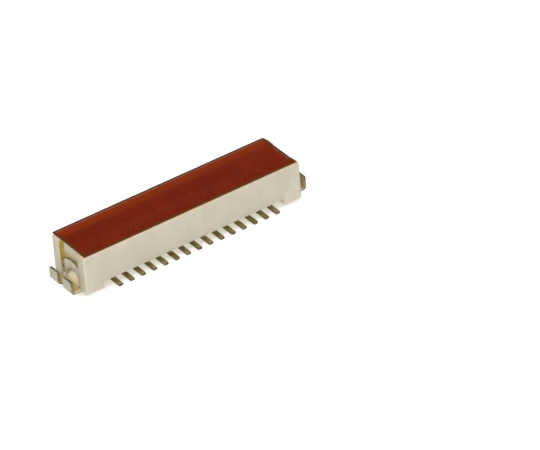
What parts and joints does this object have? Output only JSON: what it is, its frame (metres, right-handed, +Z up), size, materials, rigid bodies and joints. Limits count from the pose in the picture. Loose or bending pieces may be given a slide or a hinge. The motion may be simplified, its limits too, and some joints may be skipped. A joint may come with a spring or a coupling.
{
  "type": "pin header",
  "caption": "Surface-mount board-to-board pin header: shrouded centre tongue with two staggered contact rows, end hold-downs, locating bosses and a pick-up tape.",
  "frame": {"origin": "middle of the two rows on the board's surface, under the tongue", "axes": "+X along the rows, +Y towards the longer (rear) row, +Z up from the board to the mouth"},
  "size_m": [0.021, 0.0054, 0.0037],
  "materials": {
    "housing": "cream moulded plastic, satin",
    "tape": "amber film, see-through and glossy",
    "hold_down": "tin-plated sheet, satin bright",
    "contact": "plated copper alloy, olive gold"
  },
  "bodies": {
    "root": {"housing": "housing", "pickup_tape": "tape", "left_hold_down": "hold_down", "right_hold_down": "hold_down", "front_contact_01": "contact", "front_contact_02": "contact", "front_contact_03": "contact", "front_contact_04": "contact", "front_contact_05": "contact", "front_contact_06": "contact", "front_contact_07": "contact", "front_contact_08": "contact", "front_contact_09": "contact", "front_contact_10": "contact", "front_contact_11": "contact", "front_contact_12": "contact", "front_contact_13": "contact", "front_contact_14": "contact", "front_contact_15": "contact", "rear_contact_01": "contact", "rear_contact_02": "contact", "rear_contact_03": "contact", "rear_contact_04": "contact", "rear_contact_05": "contact", "rear_contact_06": "contact", "rear_contact_07": "contact", "rear_contact_08": "contact", "rear_contact_09": "contact", "rear_contact_10": "contact", "rear_contact_11": "contact", "rear_contact_12": "contact", "rear_contact_13": "contact", "rear_contact_14": "contact", "rear_contact_15": "contact", "rear_contact_16": "contact"}
  },
  "joints": []
}
